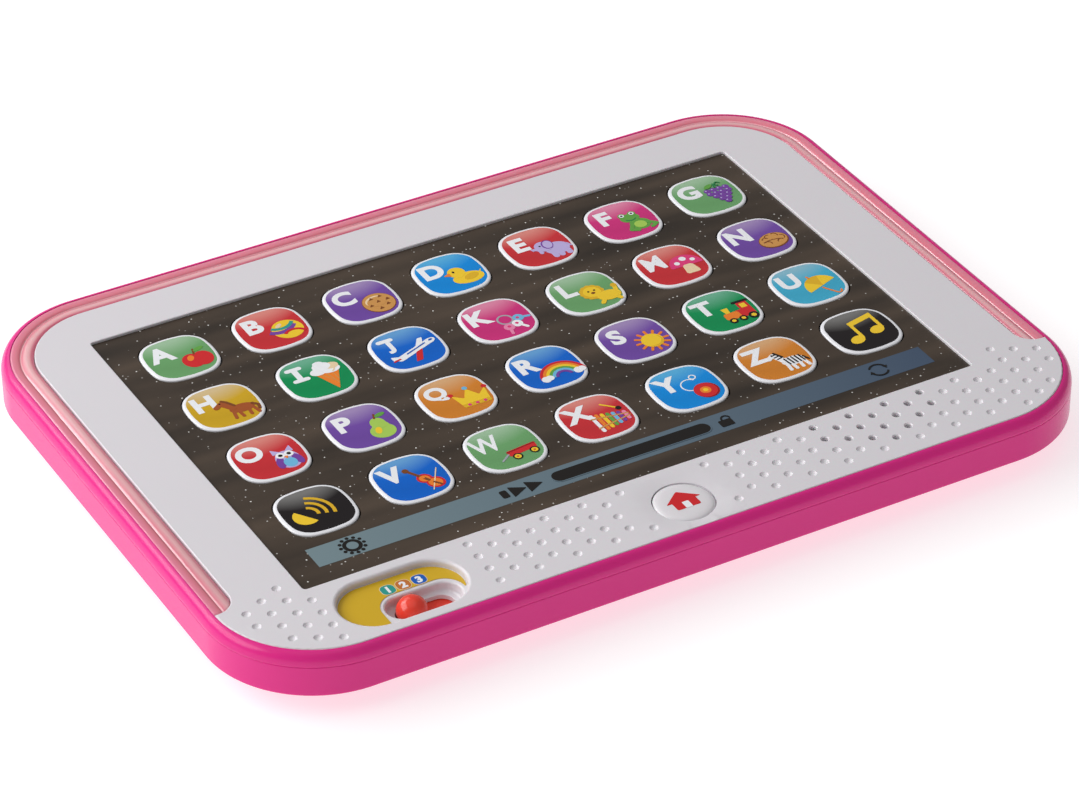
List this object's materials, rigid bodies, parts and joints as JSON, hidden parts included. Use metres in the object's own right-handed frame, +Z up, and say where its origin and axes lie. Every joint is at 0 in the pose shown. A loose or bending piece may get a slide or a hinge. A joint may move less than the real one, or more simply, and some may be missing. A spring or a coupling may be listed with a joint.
{
  "type": "toy tablet",
  "caption": "Flat play tablet with a grid of domed picture keys, a light bar round three sides, a home button, a three-place slider and a screwed battery door.",
  "frame": {"origin": "middle of the footprint, on the plane that the tablet rests on", "axes": "+X to the user's right, +Y away from the user, +Z up through the keys"},
  "size_m": [0.25, 0.1764, 0.019],
  "materials": {
    "pink_housing": "satin-gloss moulded ABS",
    "white_plate": "fine satin moulded ABS",
    "light_bar": "translucent pink, polished",
    "white_inner": "matt",
    "led": "clear epoxy",
    "printed_film": "glossy printed film",
    "key_leaf_green": "glossy print under clear dome",
    "key_red": "glossy print under clear dome",
    "key_purple": "glossy print under clear dome",
    "key_blue": "glossy print under clear dome",
    "key_magenta": "glossy print under clear dome",
    "key_gold": "glossy print under clear dome",
    "key_green": "glossy print under clear dome",
    "key_orange": "glossy print under clear dome",
    "key_sky": "glossy print under clear dome",
    "key_black": "glossy print under clear dome",
    "silicone": "soft matt silicone",
    "membrane": "clear polyester",
    "circuit_board": "solder mask",
    "chip": "matt epoxy",
    "home_button": "satin moulded ABS",
    "switch_case": "matt",
    "black_knob": "fine matt",
    "stage_red": "glossy moulded ABS",
    "stage_label": "printed label",
    "speaker_steel": "plated",
    "speaker_cone": "mylar",
    "foam": "closed-cell foam",
    "battery_can": "plain sleeve",
    "contact_metal": "nickel plate",
    "screw_steel": "zinc plate",
    "wire_red": "insulation",
    "wire_black": "insulation"
  },
  "bodies": {
    "tablet": {"aaa_cells": "battery_can", "battery_wires": "wire_red", "board_screws": "screw_steel", "contact_plates": "contact_metal", "contact_springs": "contact_metal", "control_board": "circuit_board", "faceplate": "white_plate", "front_rim": "pink_housing", "home_switch": "switch_case", "housing_screws": "screw_steel", "key_membrane": "membrane", "keypad_mat": "silicone", "light_bar": "light_bar", "light_bar_leds": "led", "light_bar_reflector": "white_inner", "main_board": "circuit_board", "main_chip": "chip", "power_switch_body": "switch_case", "rear_cover": "pink_housing", "screen_film": "printed_film", "speaker_cone": "speaker_cone", "speaker_frame": "speaker_steel", "speaker_gasket": "foam", "speaker_wires": "wire_black", "stage_label": "stage_label", "stage_switch_body": "switch_case"},
    "app_key_a": {"app_key_a": "key_leaf_green"},
    "app_key_b": {"app_key_b": "key_red"},
    "app_key_c": {"app_key_c": "key_purple"},
    "app_key_d": {"app_key_d": "key_blue"},
    "app_key_e": {"app_key_e": "key_red"},
    "app_key_f": {"app_key_f": "key_magenta"},
    "app_key_g": {"app_key_g": "key_leaf_green"},
    "app_key_h": {"app_key_h": "key_gold"},
    "app_key_i": {"app_key_i": "key_green"},
    "app_key_j": {"app_key_j": "key_blue"},
    "app_key_k": {"app_key_k": "key_magenta"},
    "app_key_l": {"app_key_l": "key_leaf_green"},
    "app_key_m": {"app_key_m": "key_red"},
    "app_key_n": {"app_key_n": "key_purple"},
    "app_key_o": {"app_key_o": "key_red"},
    "app_key_p": {"app_key_p": "key_purple"},
    "app_key_q": {"app_key_q": "key_orange"},
    "app_key_r": {"app_key_r": "key_blue"},
    "app_key_s": {"app_key_s": "key_purple"},
    "app_key_t": {"app_key_t": "key_green"},
    "app_key_u": {"app_key_u": "key_sky"},
    "key_sound": {"key_sound": "key_black"},
    "app_key_v": {"app_key_v": "key_blue"},
    "app_key_w": {"app_key_w": "key_leaf_green"},
    "app_key_x": {"app_key_x": "key_red"},
    "app_key_y": {"app_key_y": "key_blue"},
    "app_key_z": {"app_key_z": "key_orange"},
    "key_music": {"key_music": "key_black"},
    "home_button": {"home_button": "home_button"},
    "stage_slider": {"stage_slider": "stage_red"},
    "battery_door": {"battery_door": "pink_housing"},
    "battery_door_screw": {"battery_door_screw": "screw_steel"},
    "power_switch_knob": {"power_switch_knob": "black_knob"}
  },
  "joints": [
    {"name": "app_key_a_press", "type": "slide", "parent": "tablet", "child": "app_key_a", "axis": [0, 0, -1], "range_m": [0, 0.0006], "stiffness_N_per_m": 1500},
    {"name": "app_key_b_press", "type": "slide", "parent": "tablet", "child": "app_key_b", "axis": [0, 0, -1], "range_m": [0, 0.0006], "stiffness_N_per_m": 1500},
    {"name": "app_key_c_press", "type": "slide", "parent": "tablet", "child": "app_key_c", "axis": [0, 0, -1], "range_m": [0, 0.0006], "stiffness_N_per_m": 1500},
    {"name": "app_key_d_press", "type": "slide", "parent": "tablet", "child": "app_key_d", "axis": [0, 0, -1], "range_m": [0, 0.0006], "stiffness_N_per_m": 1500},
    {"name": "app_key_e_press", "type": "slide", "parent": "tablet", "child": "app_key_e", "axis": [0, 0, -1], "range_m": [0, 0.0006], "stiffness_N_per_m": 1500},
    {"name": "app_key_f_press", "type": "slide", "parent": "tablet", "child": "app_key_f", "axis": [0, 0, -1], "range_m": [0, 0.0006], "stiffness_N_per_m": 1500},
    {"name": "app_key_g_press", "type": "slide", "parent": "tablet", "child": "app_key_g", "axis": [0, 0, -1], "range_m": [0, 0.0006], "stiffness_N_per_m": 1500},
    {"name": "app_key_h_press", "type": "slide", "parent": "tablet", "child": "app_key_h", "axis": [0, 0, -1], "range_m": [0, 0.0006], "stiffness_N_per_m": 1500},
    {"name": "app_key_i_press", "type": "slide", "parent": "tablet", "child": "app_key_i", "axis": [0, 0, -1], "range_m": [0, 0.0006], "stiffness_N_per_m": 1500},
    {"name": "app_key_j_press", "type": "slide", "parent": "tablet", "child": "app_key_j", "axis": [0, 0, -1], "range_m": [0, 0.0006], "stiffness_N_per_m": 1500},
    {"name": "app_key_k_press", "type": "slide", "parent": "tablet", "child": "app_key_k", "axis": [0, 0, -1], "range_m": [0, 0.0006], "stiffness_N_per_m": 1500},
    {"name": "app_key_l_press", "type": "slide", "parent": "tablet", "child": "app_key_l", "axis": [0, 0, -1], "range_m": [0, 0.0006], "stiffness_N_per_m": 1500},
    {"name": "app_key_m_press", "type": "slide", "parent": "tablet", "child": "app_key_m", "axis": [0, 0, -1], "range_m": [0, 0.0006], "stiffness_N_per_m": 1500},
    {"name": "app_key_n_press", "type": "slide", "parent": "tablet", "child": "app_key_n", "axis": [0, 0, -1], "range_m": [0, 0.0006], "stiffness_N_per_m": 1500},
    {"name": "app_key_o_press", "type": "slide", "parent": "tablet", "child": "app_key_o", "axis": [0, 0, -1], "range_m": [0, 0.0006], "stiffness_N_per_m": 1500},
    {"name": "app_key_p_press", "type": "slide", "parent": "tablet", "child": "app_key_p", "axis": [0, 0, -1], "range_m": [0, 0.0006], "stiffness_N_per_m": 1500},
    {"name": "app_key_q_press", "type": "slide", "parent": "tablet", "child": "app_key_q", "axis": [0, 0, -1], "range_m": [0, 0.0006], "stiffness_N_per_m": 1500},
    {"name": "app_key_r_press", "type": "slide", "parent": "tablet", "child": "app_key_r", "axis": [0, 0, -1], "range_m": [0, 0.0006], "stiffness_N_per_m": 1500},
    {"name": "app_key_s_press", "type": "slide", "parent": "tablet", "child": "app_key_s", "axis": [0, 0, -1], "range_m": [0, 0.0006], "stiffness_N_per_m": 1500},
    {"name": "app_key_t_press", "type": "slide", "parent": "tablet", "child": "app_key_t", "axis": [0, 0, -1], "range_m": [0, 0.0006], "stiffness_N_per_m": 1500},
    {"name": "app_key_u_press", "type": "slide", "parent": "tablet", "child": "app_key_u", "axis": [0, 0, -1], "range_m": [0, 0.0006], "stiffness_N_per_m": 1500},
    {"name": "key_sound_press", "type": "slide", "parent": "tablet", "child": "key_sound", "axis": [0, 0, -1], "range_m": [0, 0.0006], "stiffness_N_per_m": 1500},
    {"name": "app_key_v_press", "type": "slide", "parent": "tablet", "child": "app_key_v", "axis": [0, 0, -1], "range_m": [0, 0.0006], "stiffness_N_per_m": 1500},
    {"name": "app_key_w_press", "type": "slide", "parent": "tablet", "child": "app_key_w", "axis": [0, 0, -1], "range_m": [0, 0.0006], "stiffness_N_per_m": 1500},
    {"name": "app_key_x_press", "type": "slide", "parent": "tablet", "child": "app_key_x", "axis": [0, 0, -1], "range_m": [0, 0.0006], "stiffness_N_per_m": 1500},
    {"name": "app_key_y_press", "type": "slide", "parent": "tablet", "child": "app_key_y", "axis": [0, 0, -1], "range_m": [0, 0.0006], "stiffness_N_per_m": 1500},
    {"name": "app_key_z_press", "type": "slide", "parent": "tablet", "child": "app_key_z", "axis": [0, 0, -1], "range_m": [0, 0.0006], "stiffness_N_per_m": 1500},
    {"name": "key_music_press", "type": "slide", "parent": "tablet", "child": "key_music", "axis": [0, 0, -1], "range_m": [0, 0.0006], "stiffness_N_per_m": 1500},
    {"name": "home_button_press", "type": "slide", "parent": "tablet", "child": "home_button", "axis": [0, 0, -1], "range_m": [0, 0.0009], "stiffness_N_per_m": 1500},
    {"name": "stage_slide", "type": "slide", "parent": "tablet", "child": "stage_slider", "axis": [1, 0, 0], "range_m": [0, 0.0072]},
    {"name": "power_slide", "type": "slide", "parent": "tablet", "child": "power_switch_knob", "axis": [1, 0, 0], "range_m": [0, 0.008]},
    {"name": "battery_door_lift", "type": "slide", "parent": "tablet", "child": "battery_door", "axis": [0, 0, -1], "range_m": [0, 0.06]},
    {"name": "door_screw_turn", "type": "hinge", "parent": "battery_door", "child": "battery_door_screw", "pos_m": [0.02, 0.04145, 0], "axis": [0, 0, 1], "continuous": true}
  ]
}
